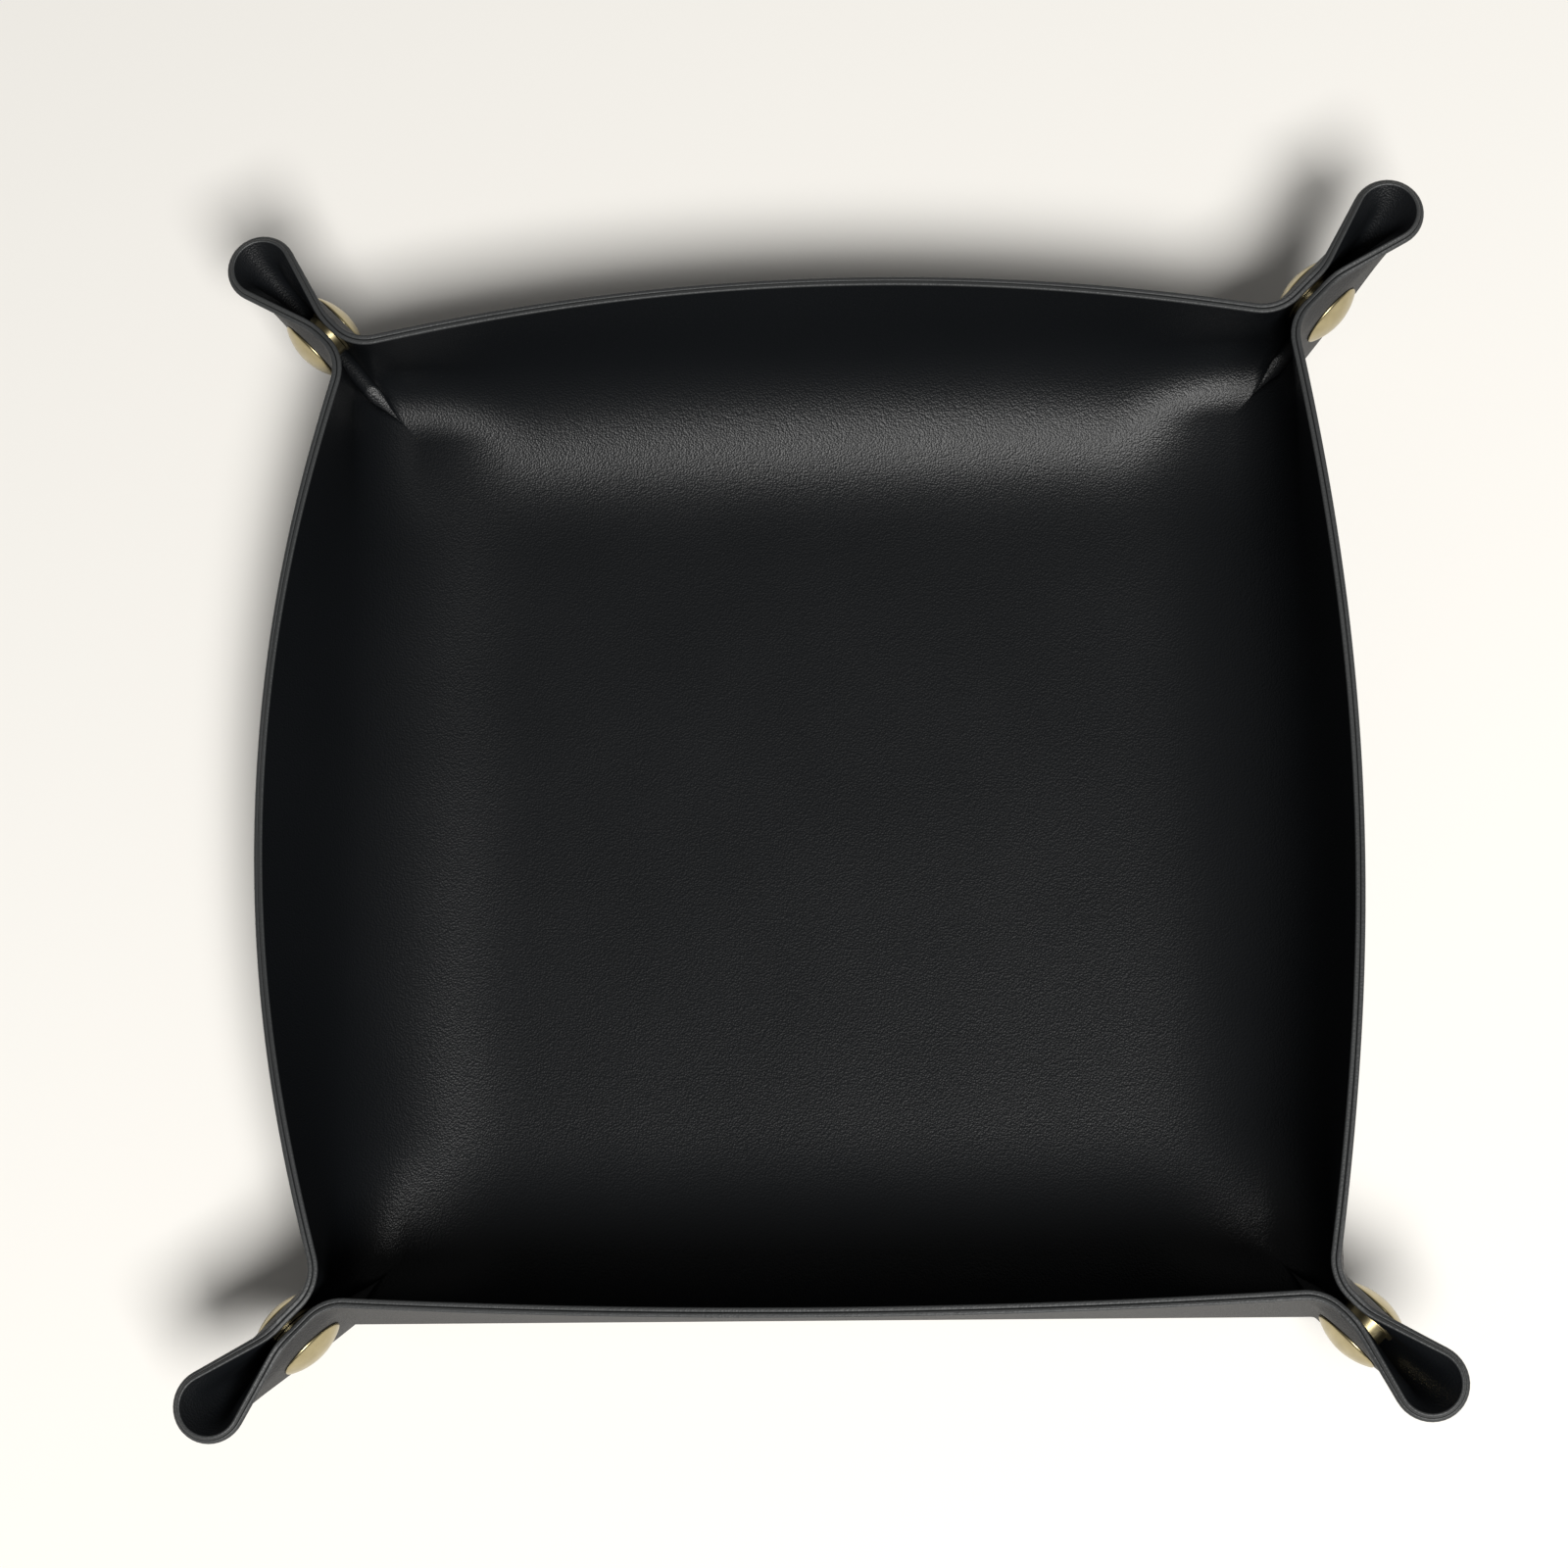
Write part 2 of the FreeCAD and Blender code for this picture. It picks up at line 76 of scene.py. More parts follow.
# Ear. The lands at the rim go clockwise from the back right corner.
FOOT_HEIGHT = 4.6
FOOT_LAND = 0.6
RIM_LANDS = (4.2, 0.4, 4.2, 0.4)
EAR_OFFSET = 2.78
PINCH_RADIUS = 3.5
FLARE_RADIUS = 15.0
FLARE_ANGLE = math.radians(17.0)
FLANK_LENGTH = 12.6

# Levels of an ear from its foot to the rim, and the shares of its sizes at them.
LEVELS = (FOOT_HEIGHT, SNAP_HEIGHT - CAP_RADIUS, SNAP_HEIGHT, SNAP_HEIGHT + CAP_RADIUS, RIM_HEIGHT)
FLARE_SHARES = (0.1, 0.1, 0.12, 0.4, 1.0)
FLANK_SHARES = (0.03, 0.03, 0.03, 0.3, 1.0)
OFFSET_SHARES = (0.85, 1.0, 1.0, 1.0, 0.48)
PINCH_SHARES = (0.7, 1.0, 1.0, 1.3, 2.4)

# Room for the motion: the two halves of an ear part at the crest in a groove that is open outside and
# closed inside. These are its half widths at the ear's levels. Below the seam it is narrow.
GROOVE_OUTSIDE = (1.75, 1.02, 0.52, 0.14, 0.0)
GROOVE_GLUE = (1.15, 0.42, 0.08, 0.0, 0.0)
FOOT_GROOVE = (0.3,) * len(LEVELS)
SEAM_HEIGHT = 5.0

# Rounded rim of one layer: height from the edge, distance from the glue line, and the normal's parts
# across and along the sheet.
RIM_PROFILE = (
    (-0.30, LAYER, 1.0, 0.0),
    (-0.13, 0.87, 0.92, 0.39),
    (-0.03, 0.76, 0.60, 0.80),
    (0.0, 0.58, 0.10, 1.0),
    (0.0, 0.28, -0.10, 1.0),
    (-0.04, 0.12, -0.60, 0.80),
    (-0.16, GLUE_GAP, -1.0, 0.10),
)


def monotone(xs, ys, x):
    """Smooth curve through points that never overshoots them."""
    xs = np.array(xs)
    ys = np.array(ys)
    steps = np.diff(xs)
    slopes = np.diff(ys) / steps
    tangents = np.zeros(len(xs))
    tangents[0] = slopes[0]
    tangents[-1] = slopes[-1]
    for i in range(1, len(xs) - 1):
        if slopes[i - 1] * slopes[i] > 0:
            tangents[i] = 2 * slopes[i - 1] * slopes[i] / (slopes[i - 1] + slopes[i])
    x = min(max(x, xs[0]), xs[-1])
    i = min(int(np.searchsorted(xs, x, side="right")) - 1, len(steps) - 1)
    t = (x - xs[i]) / steps[i]
    value = (2 * t ** 3 - 3 * t ** 2 + 1) * ys[i]
    value += (t ** 3 - 2 * t ** 2 + t) * steps[i] * tangents[i]
    value += (3 * t ** 2 - 2 * t ** 3) * ys[i + 1]
    value += (t ** 3 - t ** 2) * steps[i] * tangents[i + 1]
    return float(value)


# Walls.
def bend_at(wall, x):
    """Angle that a wall is folded up by, at a place along it."""
    mid = math.radians(MID_BEND_DEGREES[wall])
    return mid + (END_BEND - mid) * (x / WALL_HALF) ** 2


def wall_point(wall, x, s):
    """Point of the glue line of a wall, at a place along it and a distance up the sheet from the floor."""
    bend = bend_at(wall, x)
    angle = min(s / FOLD_RADIUS, bend)
    run = max(s - FOLD_RADIUS * bend, 0.0)
    y = FLOOR_HALF + FOLD_RADIUS * math.sin(angle) + run * math.cos(bend)
    z = LAYER + FOLD_RADIUS * (1 - math.cos(angle)) + run * math.sin(bend)
    return x, y, z


def wall_heading(wall, x, s):
    """Heading of a level line on the wall."""
    bend = bend_at(wall, x)
    run = max(s - FOLD_RADIUS * bend, 0.0)
    rate = 2 * (END_BEND - math.radians(MID_BEND_DEGREES[wall])) * x / WALL_HALF ** 2
    return math.atan(-run / math.sin(bend) ** 2 * rate) if run else 0.0


def run_at(wall, z):
    """Distance up the sheet of this height at a wall's end."""
    bend = bend_at(wall, FLOOR_HALF)
    fold_rise = FOLD_RADIUS * (1 - math.cos(bend))
    if z - LAYER < fold_rise:
        return FOLD_RADIUS * math.acos(1 - (z - LAYER) / FOLD_RADIUS)
    return FOLD_RADIUS * bend + (z - LAYER - fold_rise) / math.sin(bend)


# Ears. A level line is a chain of moves, each a length and a turn: a straight length, or a radius and
# the angle of its arc.
def foot_share(z):
    """Share of an ear's width at a height: it shrinks to a point at the floor's corner."""
    return min(max((z - LAYER) / (FOOT_HEIGHT - LAYER), 0.0), 1.0)


def ear_neck(wall, s):
    """Start and heading of a level line at a wall's end, its moves round the pinch, and their reach."""
    x, y, z = wall_point(wall, FLOOR_HALF, s)
    heading = wall_heading(wall, FLOOR_HALF, s)
    offset = EAR_OFFSET * monotone(LEVELS, OFFSET_SHARES, z) * foot_share(z)
    pinch = PINCH_RADIUS * monotone(LEVELS, PINCH_SHARES, z) * foot_share(z)
    pinch_x = pinch * (math.sin(DIAGONAL) - math.sin(heading))
    pinch_y = pinch * (math.cos(heading) - math.cos(DIAGONAL))
    spare = y + pinch_y - x - pinch_x - offset * ROOT_TWO
    run_in = spare / (math.cos(heading) - math.sin(heading))
    run_out = run_in * (math.cos(heading) + math.sin(heading))
    reach = (x + y + run_out + pinch_x + pinch_y) / ROOT_TWO
    return (x, y, z), heading, ((run_in, 0.0), (pinch, DIAGONAL - heading)), reach


def ear_tip(z):
    """Moves of a level line from the end of the straight land to the crest, and their reach."""
    flare = FLARE_ANGLE * monotone(LEVELS, FLARE_SHARES, z)
    flank = FLANK_LENGTH * monotone(LEVELS, FLANK_SHARES, z) * foot_share(z)
    offset = EAR_OFFSET * monotone(LEVELS, OFFSET_SHARES, z) * foot_share(z)
    radius = FLARE_RADIUS * foot_share(z)
    tip_radius = (offset + radius * (1 - math.cos(flare)) + flank * math.sin(flare)) / math.cos(flare)
    reach = radius * math.sin(flare) + flank * math.cos(flare) + tip_radius * (1 + math.sin(flare))
    return ((radius, flare), (flank, 0.0), (tip_radius, -(math.pi / 2 + flare))), reach


def neck_reach(z):
    """Furthest end of the four walls' necks at a height."""
    return max(ear_neck(wall, run_at(wall, z))[-1] for wall in WALLS)


SNAP_REACH = neck_reach(SNAP_HEIGHT) + CAP_RADIUS + CAP_MARGIN
SNAP_LEVEL = LEVELS.index(SNAP_HEIGHT)


def crest_reaches(rim_land):
    """Reach of the crest at each level: straight up from the foot to the rim, and clear of the cap."""
    foot = neck_reach(FOOT_HEIGHT) + FOOT_LAND + ear_tip(FOOT_HEIGHT)[1]
    rim = neck_reach(RIM_HEIGHT) + rim_land + ear_tip(RIM_HEIGHT)[1]
    reaches = [foot + (rim - foot) * (z - FOOT_HEIGHT) / (RIM_HEIGHT - FOOT_HEIGHT) for z in LEVELS]
    reaches[SNAP_LEVEL] = max(reaches[SNAP_LEVEL], SNAP_REACH + CAP_RADIUS + ear_tip(SNAP_HEIGHT)[1])
    return reaches


# Steps along each move of a level line: run in, pinch, land, flare, flank and tip.
STEPS = (5, 8, 12, 3, 8, 12)


def ear_curve(wall, reaches, s):
    """Level line of the glue surface from a wall's end, round the pinch and out to the crest."""
    (x, y, z), heading, neck, neck_end = ear_neck(wall, s)
    tip, tip_length = ear_tip(z)
    land = FOOT_LAND * foot_share(z)
    if z > FOOT_HEIGHT:
        land = monotone(LEVELS, reaches, z) - tip_length - neck_end
    points = [(x, y, z)]
    for (length, turn), steps in zip((*neck, (land, 0.0), *tip), STEPS):
        for step in range(1, steps + 1):
            share = step / steps
            if turn == 0.0:
                px = x + math.cos(heading) * length * share
                py = y + math.sin(heading) * length * share
            else:
                bulge = math.copysign(length, turn)
                cx = x - math.sin(heading) * bulge
                cy = y + math.cos(heading) * bulge
                px = cx + math.sin(heading + turn * share) * bulge
                py = cy - math.cos(heading + turn * share) * bulge
            points.append((px, py, z))
        x, y = points[-1][0], points[-1][1]
        heading += turn
    return points


def wall_ends(quarter):
    """Walls next to a wall, clockwise and counterclockwise, as HANDS has them."""
    return WALLS[(quarter + 1) % len(WALLS)], WALLS[quarter - 1]


def turned(points, quarter):
    """Points turned clockwise by quarters of a circle."""
    points = np.array(points, float)
    for _ in range(quarter):
        points = np.stack([points[..., 1], -points[..., 0], points[..., 2]], axis=-1)
    return points


# Glue surfaces: grids of points, rows up the sheet and columns along it. Columns crowd towards the
# corners and rows towards the fold. A flipped grid runs the other way round.
COLUMNS = 73
CROWDING_SHARE = 0.35
FINE_RUN = 16.0
FINE_ROWS = 21
WIDE_ROWS = 26
CROWDED = FLOOR_HALF * np.sin(np.linspace(-math.pi / 2, math.pi / 2, COLUMNS))
EVEN = np.linspace(-1, 1, COLUMNS) * FLOOR_HALF
ACROSS = CROWDED * CROWDING_SHARE + EVEN * (1 - CROWDING_SHARE)
ROWS = np.concatenate([np.linspace(0.0, FINE_RUN, FINE_ROWS, endpoint=False),
                       np.linspace(FINE_RUN, SHEET_RUN, WIDE_ROWS)])
MIRROR = np.array([-1.0, 1.0, 1.0])
grids = {"floor": np.array([[(x, y, LAYER) for x in ACROSS] for y in ACROSS])}
flipped = {"floor": False}
reaches = [crest_reaches(land) for land in RIM_LANDS]
for quarter, wall in enumerate(WALLS):
    clockwise, counter = wall_ends(quarter)
    grids[wall] = turned([[wall_point(wall, x, s) for x in ACROSS] for s in ROWS], quarter)
    flipped[wall] = False
    ear = np.array([ear_curve(wall, reaches[quarter], s) for s in ROWS])
    grids[(wall, clockwise)] = turned(ear, quarter)
    flipped[(wall, clockwise)] = False
    ear = np.array([ear_curve(wall, reaches[quarter - 1], s) for s in ROWS])
    grids[(wall, counter)] = turned(ear * MIRROR, quarter)
    flipped[(wall, counter)] = True

# Points of two grids are one where they agree to this part of a millimetre.
MATCH = 200


def sheet_normals():
    """Outward normals of all grids, shared where the grids meet so that the sheet shades as one."""
    sums = {}
    keys = {name: np.round(grid * MATCH).astype(int) for name, grid in grids.items()}
    for name, grid in grids.items():
        corner = grid[:-1, :-1]
        normal = np.cross(grid[1:, 1:] - corner, grid[:-1, 1:] - grid[1:, :-1])
        if flipped[name]:
            normal = -normal
        for row in range(normal.shape[0]):
            for column in range(normal.shape[1]):
                for r, c in ((0, 0), (1, 0), (1, 1), (0, 1)):
                    key = tuple(keys[name][row + r, column + c])
                    sums[key] = sums.get(key, 0) + normal[row, column]
    result = {}
    for name, grid in grids.items():
        normal = np.array([[sums[tuple(key)] for key in line] for line in keys[name]])
        result[name] = normal / np.linalg.norm(normal, axis=-1, keepdims=True)
    return result


normals = sheet_normals()

# The lining shades as a softer bend than the fold itself: its slope is averaged over a reach on both
# sides and shifted towards the floor, and the softening fades out at the corners.
SOFT_REACH = 20.0
SOFT_SHIFT = 4.5
CORNER_FADE = 24.0


def slope_sum(run, bend):
    """Slope of the sheet summed up from the floor's edge to a distance up the wall."""
    run = max(run, 0.0)
    fold = FOLD_RADIUS * bend
    if run < fold:
        return run * run / (2 * FOLD_RADIUS)
    return fold * bend / 2 + bend * (run - fold)


def soft_slope(run, bend):
    """Slope of the softer bend at a distance up the wall, or before the floor's edge if negative."""
    middle = run + SOFT_SHIFT
    rise = slope_sum(middle + SOFT_REACH, bend) - slope_sum(middle - SOFT_REACH, bend)
    return rise / (2 * SOFT_REACH)


def corner_fade(along):
    """Share of the softening at a place along a wall: none at its ends."""
    share = min(max((FLOOR_HALF - abs(along)) / CORNER_FADE, 0.0), 1.0)
    return share * share * (3 - 2 * share)


def soft_floor():
    """Outward normals of the floor's lining, leaning near the edges towards the walls' bends."""
    result = normals["floor"].copy()
    for row, y in enumerate(ACROSS):
        for column, x in enumerate(ACROSS):
            lean = []
            for along, across, walls in ((y, x, ("right", "left")), (x, y, ("back", "front"))):
                wall = walls[0] if across > 0 else walls[1]
                slope = soft_slope(abs(across) - FLOOR_HALF, bend_at(wall, along)) * corner_fade(along)
                lean.append(math.copysign(math.tan(slope), across))
            result[row, column] = (lean[0], lean[1], -1.0)
    return result / np.linalg.norm(result, axis=-1, keepdims=True)


def soft_wall(wall, quarter):
    """Outward normals of a wall's lining, turned from the fold's slope to the softer one."""
    result = turned(normals[wall], len(WALLS) - quarter)
    for row, s in enumerate(ROWS):
        for column, x in enumerate(ACROSS):
            bend = bend_at(wall, x)
            turn = (soft_slope(s, bend) - min(s / FOLD_RADIUS, bend)) * corner_fade(x)
            _, y, z = result[row, column]
            result[row, column, 1] = y * math.cos(turn) - z * math.sin(turn)
            result[row, column, 2] = y * math.sin(turn) + z * math.cos(turn)
    return turned(result, quarter)


shades = {OUTER: normals, LINING: dict(normals)}
shades[LINING]["floor"] = soft_floor()
for quarter, wall in enumerate(WALLS):
    shades[LINING][wall] = soft_wall(wall, quarter)


# Meshes. Corners that agree to a micrometre are welded.
WELD = 1e6


def closed_mesh(name, verts, faces):
    """Mesh with welded corners, without the faces that shrink to a line or lie inside in pairs.

    Also gives the faces that it keeps, each as its place in the list and its corners before the weld.
    """
    first, ids = {}, []
    for vert in verts:
        ids.append(first.setdefault(tuple(round(value * WELD) for value in vert), len(first)))
    spots = [None] * len(first)
    for index, vert in zip(ids, verts):
        spots[index] = vert
    kept = {}
    for index, face in enumerate(faces):
        corners = [corner for i, corner in enumerate(face) if ids[corner] != ids[face[i - 1]]]
        shared = frozenset(ids[corner] for corner in corners)
        if shared in kept:
            del kept[shared]
        elif len(shared) > 2:
            kept[shared] = (index, corners)
    mesh = bpy.data.meshes.new(name)
    mesh.from_pydata(spots, [], [[ids[corner] for corner in corners] for _, corners in kept.values()])
    mesh.polygons.foreach_set("use_smooth", [True] * len(mesh.polygons))
    return mesh, list(kept.values())


def linked(name, data):
    """New object in the scene."""
    item = bpy.data.objects.new(name, data)
    bpy.context.scene.collection.objects.link(item)
    return item


# Leather layers. Each is one closed piece, made of bands: parts of grids, each with a shown side and a
# glue side. A band is the grid's name, its first and last rows, and whether it ends in the rim.
def drawn_back(rows, heights, half_widths):
    """Rows of an ear that end short of the crest, along their last arc."""
    result = rows.copy()
    places = np.arange(rows.shape[1], dtype=float)
    arc_start = places[-1] - STEPS[-1]
    for row, height in enumerate(heights):
        level = max(height, FOOT_HEIGHT)
        radius, turn = ear_tip(level)[0][-1]
        share = monotone(LEVELS, half_widths, level) / (radius * abs(turn))
        short = np.where(places > arc_start, arc_start + (places - arc_start) * (1 - share), places)
        for axis in range(3):
            result[row, :, axis] = np.interp(short, places, rows[row, :, axis])
    return result


def rim_direction(grid):
    """Directions that lead off the sheet at the rim, square to its edge."""
    up = grid[-1] - grid[-2]
    edge = np.gradient(grid[-1], axis=0)
    edge = edge / np.linalg.norm(edge, axis=-1, keepdims=True)
    up = up - edge * np.sum(up * edge, axis=-1, keepdims=True)
    return up / np.linalg.norm(up, axis=-1, keepdims=True)


def band_rows(band, side):
    """Rows of points and shading directions round a band, and how many of them are shown.

    They go up the shown side, over the rim if there is one, and down the glue side.
    """
    name, first, last, rimmed = band
    grid = grids[name][first:last]
    normal = normals[name][first:last] * side
    shade = shades[side][name][first:last] * side
    glue, glue_normal = grid, normal
    if name not in (*WALLS, "floor"):
        heights = grid[:, 0, 2]
        if rimmed:
            glue, glue_normal = (drawn_back(item, heights, GROOVE_GLUE) for item in (grid, normal))
        if side == OUTER:
            room = GROOVE_OUTSIDE if rimmed else FOOT_GROOVE
            grid, normal, shade = (drawn_back(item, heights, room) for item in (grid, normal, shade))
    plain = len(grid) - int(rimmed)
    rows = [(grid[row] + normal[row] * LAYER, shade[row]) for row in range(plain)]
    if rimmed:
        up = rim_direction(grid)
        for height, out, across, along in RIM_PROFILE:
            rows.append((grid[-1] + up * height + normal[-1] * out, normal[-1] * across + up * along))
    shown = len(rows)
    for row in reversed(range(plain)):
        rows.append((glue[row] + glue_normal[row] * GLUE_GAP, np.zeros_like(normal[row])))
    return rows, shown


def side_faces(here, following, columns):
    """Faces between two rows that start at these corners."""
    return [[here + column, following + column, following + column + 1, here + column + 1]
            for column in range(columns - 1)]


def end_faces(start, columns, shown, count):
    """Faces that close a band at one end, between each shown row and the glue row behind it."""
    result = []
    for row in range(shown - 1):
        behind, next_behind = (max(count - 1 - place, shown) for place in (row, row + 1))
        rows = [row, row + 1, next_behind] if behind == next_behind else [row, row + 1, next_behind, behind]
        result.append([start + place * columns for place in rows])
    return result


# A corner takes its own shading direction if each corner of its face has one at least this long, and if
# it points out of the face by at least this much.
LEAST_LENGTH = 0.1
LEAST_FACING = 0.2


def set_shading(mesh, kept, directions):
    """Shade each corner in its own direction, or else flat."""
    chosen = []
    for polygon, (_, corners) in zip(mesh.polygons, kept):
        vectors = [directions[corner] for corner in corners]
        usable = all(np.linalg.norm(vector) > LEAST_LENGTH for vector in vectors)
        flat = polygon.normal
        for vector in vectors:
            if usable and np.dot(vector, flat) > LEAST_FACING:
                chosen.append(tuple(vector / np.linalg.norm(vector)))
            else:
                chosen.append(tuple(flat))
    mesh.normals_split_custom_set(chosen)


def layer_piece(bands, side, name, material):
    """Closed piece of one leather layer, with the cut edge's material on its rim."""
    verts, faces, directions, edged = [], [], [], set()
    for band in bands:
        rows, shown = band_rows(band, side)
        grid_name, _, _, rimmed = band
        outward = (side == OUTER) != flipped[grid_name]
        base = len(verts)
        columns = len(rows[0][0])
        count = len(rows)
        for points, direction in rows:
            verts.extend((points * MM).tolist())
            directions.extend(direction.tolist())
        for row in range(count):
            strip = side_faces(base + row * columns, base + (row + 1) % count * columns, columns)
            if rimmed and shown - len(RIM_PROFILE) <= row < shown - 1:
                edged.update(range(len(faces), len(faces) + len(strip)))
            faces.extend(face if outward else face[::-1] for face in strip)
        for face in end_faces(base, columns, shown, count):
            faces.append(face[::-1] if outward else face)
        for face in end_faces(base + columns - 1, columns, shown, count):
            faces.append(face if outward else face[::-1])
    mesh, kept = closed_mesh(name, verts, faces)
    set_shading(mesh, kept, np.array(directions))
    mesh.materials.append(material)
    mesh.materials.append(cut_edge)
    mesh.polygons.foreach_set("material_index", [int(index in edged) for index, _ in kept])
    piece = linked(name, mesh)
    return piece


# Materials. A texture's scale counts its cells to the metre, and the relief is in metres.
PORE_FINENESS = 2.3
PORE_SHARE = 0.6
GRAIN_RELIEF = 0.0004
BLOTCH_SCALE = 38.0
GLOSS_SPREAD = 0.03
WEAR_SCALE = 420.0
WEAR_DETAIL = 5.0
DULL_ROUGHER = 0.1
BRIGHT_SMOOTHER = 0.08
MIX_FACTOR = 0
MIX_COLOURS = (6, 7)
MIX_RESULT = 2


def set_values(node, values):
    """Set some inputs of a shader node, by name; an underscore stands for a space."""
    for socket, value in values.items():
        node.inputs[socket.replace("_", " ")].default_value = value


def surface_of(material):
    return material.node_tree.nodes["Principled BSDF"]


def new_material(name, **values):
    """New material with some inputs of its surface set."""
    material = bpy.data.materials.new(name)
    material.use_nodes = True
    set_values(surface_of(material), values)
    return material


def join(material, source, output, target, socket):
    material.node_tree.links.new(source.outputs[output], target.inputs[socket])


def add_node(material, kind, **values):
    """New shader node with some of its inputs set."""
    node = material.node_tree.nodes.new(kind)
    set_values(node, values)
    return node


def add_texture(material, kind, **values):
    """New texture, laid in the piece's own coordinates."""
    place = add_node(material, "ShaderNodeTexCoord")
    texture = add_node(material, kind, **values)
    join(material, place, "Object", texture, "Vector")
    return texture


def blotch(material, texture, colours, roughnesses):
    """Let a texture lead the surface from one colour and roughness to another."""
    tone = add_node(material, "ShaderNodeMix")
    tone.data_type = "RGBA"
    for socket, colour in zip(MIX_COLOURS, colours):
        tone.inputs[socket].default_value = (*colour, 1.0)
    join(material, texture, "Fac", tone, MIX_FACTOR)
    join(material, tone, MIX_RESULT, surface_of(material), "Base Color")
    gloss = add_node(material, "ShaderNodeMapRange", To_Min=roughnesses[0], To_Max=roughnesses[1])
    join(material, texture, "Fac", gloss, "Value")
    join(material, gloss, "Result", surface_of(material), "Roughness")


def leather(name, dark, light, roughness, gleam, grain, depth):
    """Black leather: pebbled grain in the bump, with slow changes of tone and gloss."""
    material = new_material(name, Specular_IOR_Level=gleam)
    pebbles = add_texture(material, "ShaderNodeTexVoronoi", Scale=grain)
    pores = add_texture(material, "ShaderNodeTexNoise", Scale=grain * PORE_FINENESS, Detail=1.0)
    slow = add_texture(material, "ShaderNodeTexNoise", Scale=BLOTCH_SCALE, Detail=1.0)
    relief = add_node(material, "ShaderNodeMath")
    relief.operation = "MULTIPLY_ADD"
    join(material, pores, "Fac", relief, 0)
    relief.inputs[1].default_value = PORE_SHARE
    join(material, pebbles, "Distance", relief, 2)
    bump = add_node(material, "ShaderNodeBump", Strength=depth, Distance=GRAIN_RELIEF)
    join(material, relief, 0, bump, "Height")
    join(material, bump, "Normal", surface_of(material), "Normal")
    blotch(material, slow, (dark, light), (roughness - GLOSS_SPREAD, roughness + GLOSS_SPREAD))
    return material


def metal(name, colour, dull, roughness):
    """Aged metal: tone and gloss vary in soft blotches."""
    material = new_material(name, Metallic=1.0)
    wear = add_texture(material, "ShaderNodeTexNoise", Scale=WEAR_SCALE, Detail=WEAR_DETAIL)
    blotch(material, wear, (dull, colour), (roughness + DULL_ROUGHER, roughness - BRIGHT_SMOOTHER))
    return material


outer_leather = leather("outer_leather", dark=(0.016, 0.016, 0.0165), light=(0.026, 0.026, 0.027),
                        roughness=0.62, gleam=0.5, grain=2000.0, depth=0.3)
lining_leather = leather("lining_leather", dark=(0.0046, 0.0054, 0.0064), light=(0.0056, 0.0064, 0.0076),
                         roughness=0.37, gleam=0.31, grain=2600.0, depth=0.2)
cut_edge = leather("cut_edge", dark=(0.028, 0.030, 0.031), light=(0.042, 0.044, 0.045),
                   roughness=0.5, gleam=0.5, grain=2600.0, depth=0.15)
brass = metal("brass", colour=(0.50, 0.43, 0.25), dull=(0.36, 0.30, 0.17), roughness=0.3)
steel = metal("spring_steel", colour=(0.62, 0.62, 0.62), dull=(0.5, 0.5, 0.5), roughness=0.3)

# Leather pieces, each standing for a CAD layer, which is hidden. The floor's layers ride on the floor's
# body. A wall's layers take in the feet of its ears up to the seam, and the ears' layers go on from there to
# the rim; these stay where they are built.
LAYERS = ((OUTER, "outer", outer_leather), (LINING, "lining", lining_leather))


seam_row = int(np.searchsorted([wall_point("back", FLOOR_HALF, s)[2] for s in ROWS], SEAM_HEIGHT))
for side, layer, material in LAYERS:
    piece = layer_piece([("floor", 0, None, False)], side, f"floor_{layer}_skin", material)
    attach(piece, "floor")
    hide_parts(f"floor_{layer}")
    for quarter, wall in enumerate(WALLS):
        ends = wall_ends(quarter)
        bands = [(wall, 0, None, True)] + [((wall, end), 0, seam_row + 1, False) for end in ends]
        piece = layer_piece(bands, side, f"{wall}_wall_{layer}_skin", material)
        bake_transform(piece)
        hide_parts(f"{wall}_wall_{layer}")
        for end, hand in zip(ends, HANDS):
            body = f"{wall}_wall_{end}_ear"
            bands = [((wall, end), seam_row, None, True)]
            piece = layer_piece(bands, side, f"{body}_{layer}_skin", material)
            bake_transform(piece)
            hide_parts(f"{body}_{layer}")

# Snap hardware: the domed caps are turned more finely, the hidden pieces keep their CAD shapes. The
# profile of a cap and its post is given as radius and depth below the crown.
POST_RADIUS = 1.4
POST_END = 4.3
CAP_PROFILE = ((0.0, 0.0), (1.2, 0.06), (2.4, 0.25), (3.5, 0.54), (4.4, 0.86), (5.1, 1.17), (5.6, 1.42),
               (5.92, 1.60), (6.12, 1.76), (6.22, 1.90), (CAP_RADIUS, 2.02), (6.22, CAP_HEIGHT),
               (5.6, CAP_HEIGHT), (POST_RADIUS, CAP_HEIGHT), (POST_RADIUS, POST_END), (0.0, POST_END))
SEGMENTS = 72


def cap_piece(name, crown, across):
    """Domed cap with its post; across points from the crown into the leather."""
    verts, faces = [], []
    side = Vector((0, 0, 1))
    other = across.cross(side)
    for radius, depth in CAP_PROFILE:
        for segment in range(SEGMENTS):
            angle = 2 * math.pi * segment / SEGMENTS
            spot = crown + across * depth + (side * math.cos(angle) + other * math.sin(angle)) * radius
            verts.append(spot * MM)
    for ring in range(len(CAP_PROFILE) - 1):
        for segment in range(SEGMENTS):
            following = (segment + 1) % SEGMENTS
            faces.append((ring * SEGMENTS + segment, (ring + 1) * SEGMENTS + segment,
                          (ring + 1) * SEGMENTS + following, ring * SEGMENTS + following))
    mesh, _ = closed_mesh(name, verts, faces)
    mesh.materials.append(brass)
    piece = linked(name, mesh)
    return piece


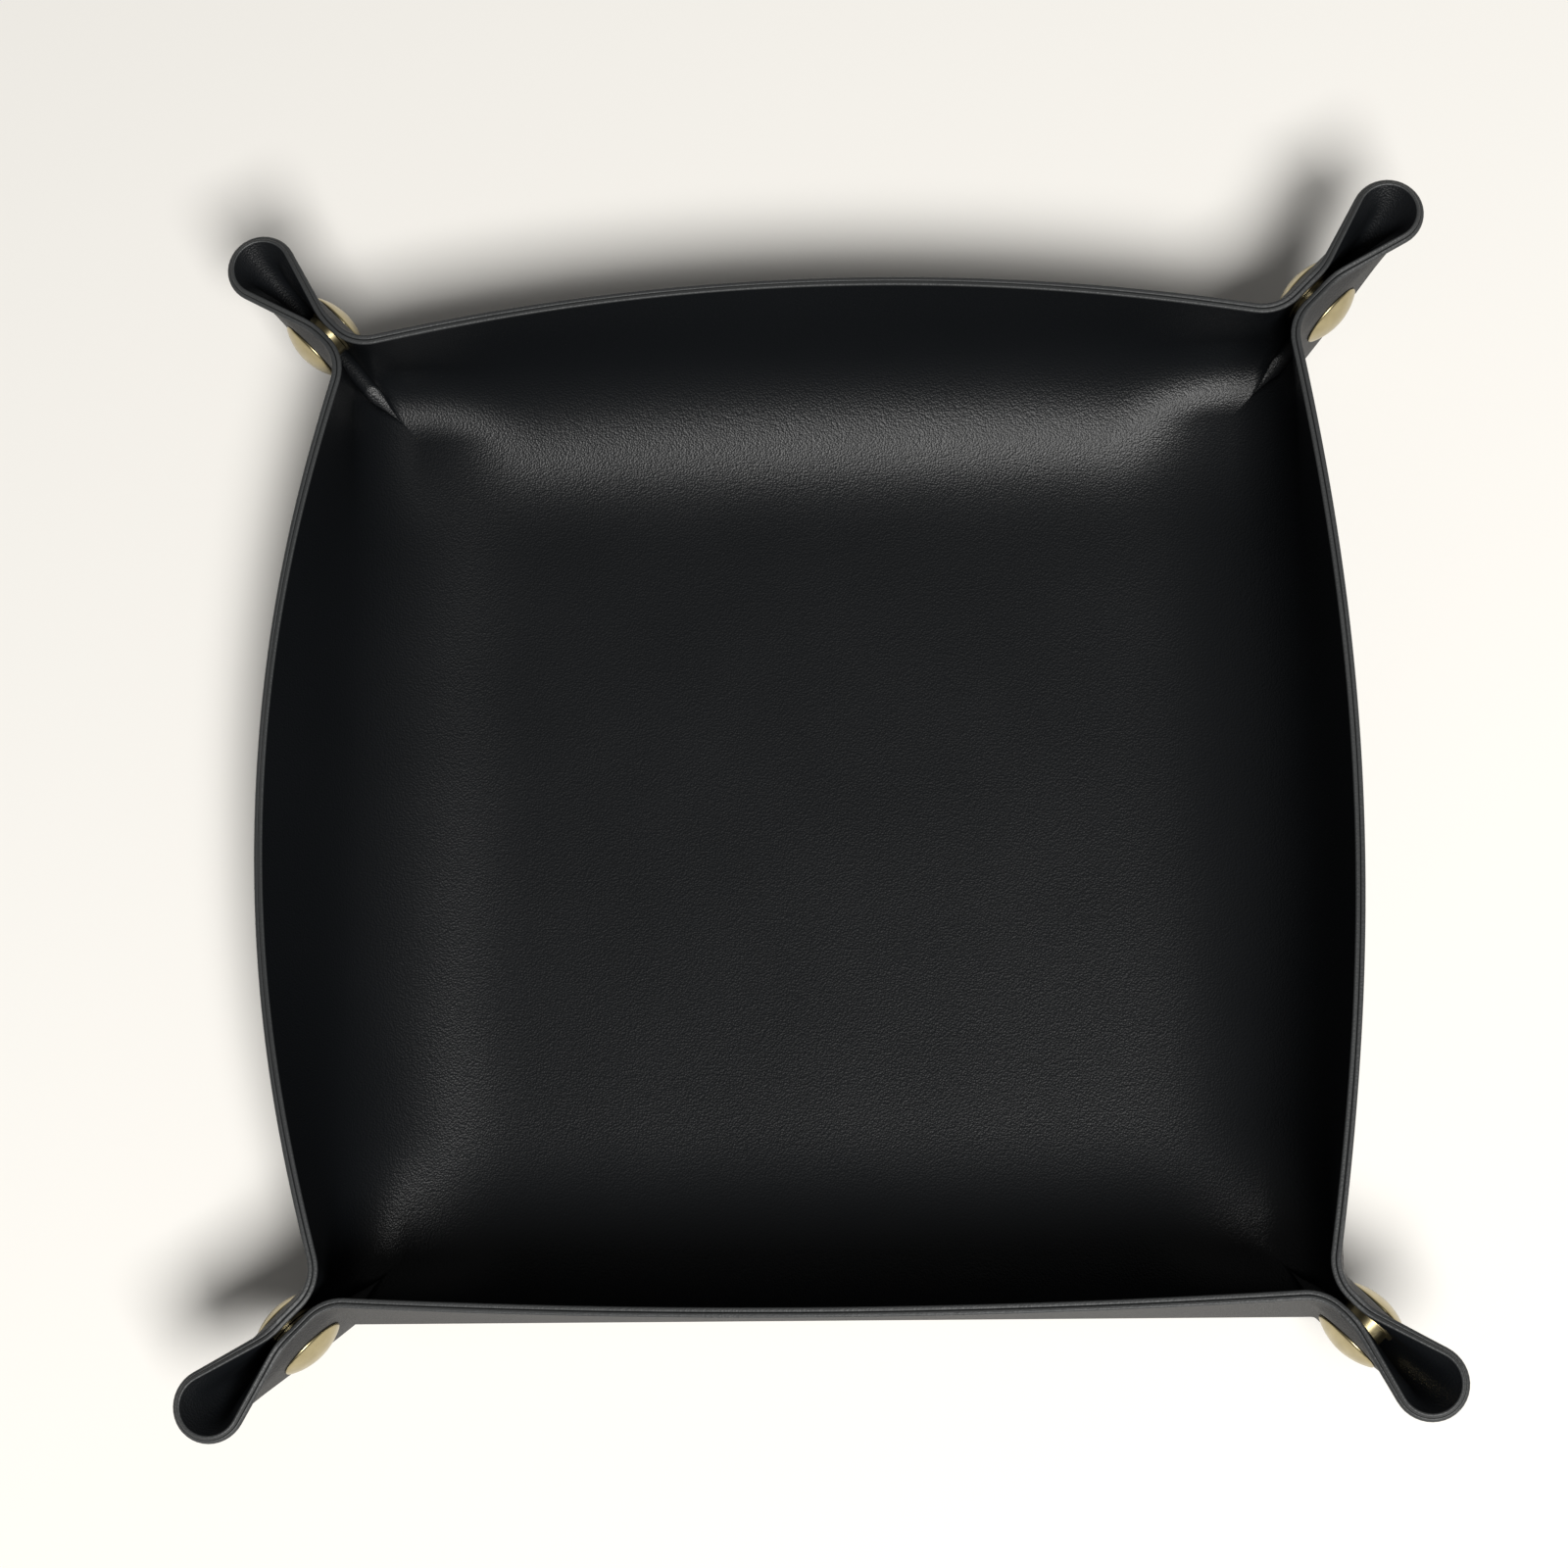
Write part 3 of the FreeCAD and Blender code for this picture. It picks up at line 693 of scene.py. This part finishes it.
for node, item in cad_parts.items():
    kind = node.rsplit("_", 1)[1]
    if kind in ("socket", "stud", "spring"):
        item.data.materials.clear()
        item.data.materials.append(steel if kind == "spring" else brass)

crown_out = EAR_OFFSET + LAYER + SEAT_GAP + CAP_HEIGHT
for quarter, wall in enumerate(WALLS):
    turn = Matrix.Rotation(-math.pi / 2 * quarter, 3, "Z")
    for end, hand in zip(wall_ends(quarter), HANDS):
        across = Vector((hand, -1, 0)).normalized()
        middle = Vector((hand * SNAP_REACH / ROOT_TWO, SNAP_REACH / ROOT_TWO, SNAP_HEIGHT))
        piece = cap_piece(f"{wall}_wall_{end}_cap_dome", turn @ (middle - across * crown_out), turn @ across)
        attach(piece, f"{wall}_wall_{end}_ear")
        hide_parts(f"{wall}_wall_{end}_cap")

# Table, in metres, a hair below the tray.
TABLE_SIZE = 6.0
TABLE_DROP = 0.0003
bpy.ops.mesh.primitive_plane_add(size=TABLE_SIZE, location=(0, 0, -TABLE_DROP))
table = bpy.context.object
table.name = "table"
table.data.materials.append(new_material("paper", Base_Color=(0.93, 0.91, 0.87, 1.0), Roughness=0.9))

# Light: one large lamp from the right front, and a faint even light all round.
DAYLIGHT = (1.0, 0.99, 0.97)
KEY_PLACE = Vector((0.42, -0.95, 1.60))
KEY_AIM = Vector((0.0, 0.02, 0.0))
KEY_WIDTH = 0.8
KEY_HEIGHT = 0.65
KEY_POWER = 44.0
WORLD_STRENGTH = 0.11
key_data = bpy.data.lights.new("key", "AREA")
key_data.shape = "RECTANGLE"
key_data.size = KEY_WIDTH
key_data.size_y = KEY_HEIGHT
key_data.energy = KEY_POWER
key_data.color = DAYLIGHT
key = linked("key", key_data)
key.location = KEY_PLACE
key.rotation_euler = (KEY_AIM - KEY_PLACE).to_track_quat("-Z", "Y").to_euler()

world = bpy.data.worlds.new("studio")
bpy.context.scene.world = world
world.use_nodes = True
set_values(world.node_tree.nodes["Background"], {"Color": (*DAYLIGHT, 1.0), "Strength": WORLD_STRENGTH})

# Camera, fitted to the photograph: its place in metres, its turns in radians and its lens in pixels.
CAMERA_PLACE = (0.0370, -0.1048, 0.5422)
CAMERA_ROLL = 0.0057
CAMERA_TILT = -0.2063
CAMERA_PAN = -0.0828
FOCAL_PIXELS = 3000.0
PHOTO_PIXELS = 1600
SENSOR_WIDTH = 36.0
CLIP_END = 20.0
camera_data = bpy.data.cameras.new("camera")
camera_data.sensor_width = SENSOR_WIDTH
camera_data.lens = FOCAL_PIXELS / PHOTO_PIXELS * SENSOR_WIDTH
camera_data.clip_end = CLIP_END
camera = linked("camera", camera_data)
turns = Matrix.Rotation(CAMERA_ROLL, 3, "Z") @ Matrix.Rotation(CAMERA_TILT, 3, "X")
turns = turns @ Matrix.Rotation(CAMERA_PAN, 3, "Y")
camera.matrix_world = Matrix.Translation(CAMERA_PLACE) @ turns.transposed().to_4x4()
bpy.context.scene.camera = camera
bpy.context.scene.view_settings.view_transform = "Standard"
